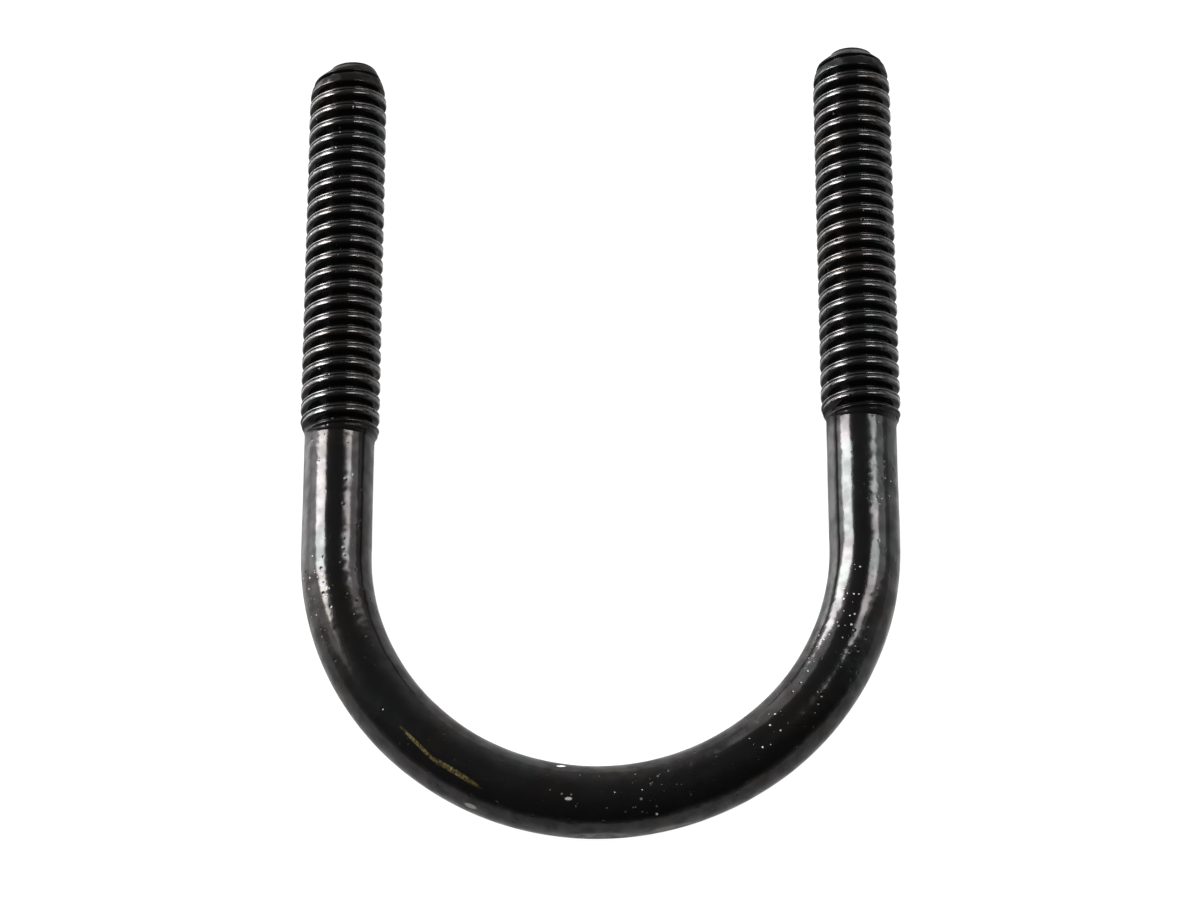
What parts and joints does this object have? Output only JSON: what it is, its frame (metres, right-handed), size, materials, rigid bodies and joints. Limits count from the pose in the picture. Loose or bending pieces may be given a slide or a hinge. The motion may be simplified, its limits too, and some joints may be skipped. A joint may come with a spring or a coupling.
{
  "type": "u-bolt",
  "caption": "Round-bend U-bolt of black-coated steel bar with a rolled right-hand thread on each leg, to clamp a pipe or rail to a plate.",
  "frame": {"origin": "centre of the half-circle bend on the bar's mid-plane, where the axis of the clamped pipe passes", "axes": "+Y along the legs from the bend to the threaded tips, +X from the left leg to the right leg, +Z square to the plane of the U, along the clamped pipe"},
  "size_m": [0.0452, 0.0632, 0.006],
  "materials": {
    "black_coating": "gloss"
  },
  "bodies": {
    "root": {"bend": "black_coating", "left_shank": "black_coating", "right_shank": "black_coating", "left_thread": "black_coating", "right_thread": "black_coating"}
  },
  "joints": []
}
